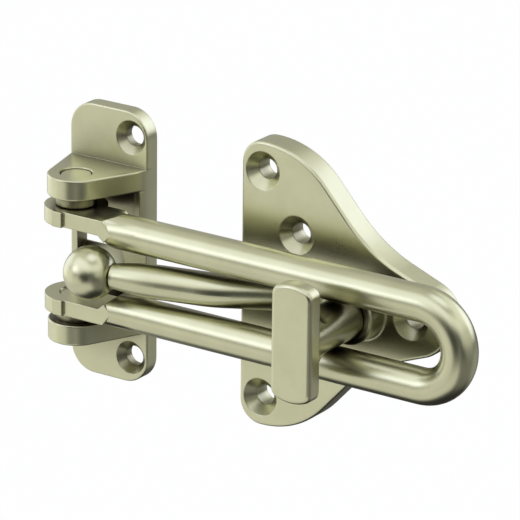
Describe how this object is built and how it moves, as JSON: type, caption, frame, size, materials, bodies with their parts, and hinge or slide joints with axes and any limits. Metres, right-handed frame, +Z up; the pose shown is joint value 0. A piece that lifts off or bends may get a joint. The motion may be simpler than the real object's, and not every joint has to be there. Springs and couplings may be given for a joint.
{
  "type": "swing bar door guard",
  "caption": "Door guard with a U-shaped swing bar hinged on a wall bracket; the bar drops over a ball-ended arm and a turn knob on a keeper plate, so the door opens only a little.",
  "frame": {"origin": "wall plane, midway between the two screw holes of the bar bracket", "axes": "+X along the closed bar from the hinge towards the loop's end, +Z up along the hinge pins, -Y away from the wall"},
  "size_m": [0.1289, 0.0373, 0.0738],
  "materials": {
    "satin_nickel": "satin nickel plate on zinc castings, warm champagne tone",
    "spring_steel": "plain spring steel"
  },
  "bodies": {
    "fixed": {"bar_bracket": "satin_nickel", "upper_pin": "satin_nickel", "lower_pin": "satin_nickel", "upper_spacer": "satin_nickel", "lower_spacer": "satin_nickel", "keeper": "satin_nickel", "spring_washer": "spring_steel"},
    "bar": {"swing_bar": "satin_nickel"},
    "knob": {"turn_knob": "satin_nickel", "retaining_clip": "spring_steel"}
  },
  "joints": [
    {"name": "bar_swing", "type": "hinge", "parent": "fixed", "child": "bar", "pos_m": [-0.0083, -0.0157, 0], "axis": [0, 0, -1], "range_deg": [0, 5.5]},
    {"name": "knob_turn", "type": "hinge", "parent": "fixed", "child": "knob", "pos_m": [0.0702, -0.035, 0], "axis": [0, -1, 0], "range_deg": [0, 90]}
  ]
}
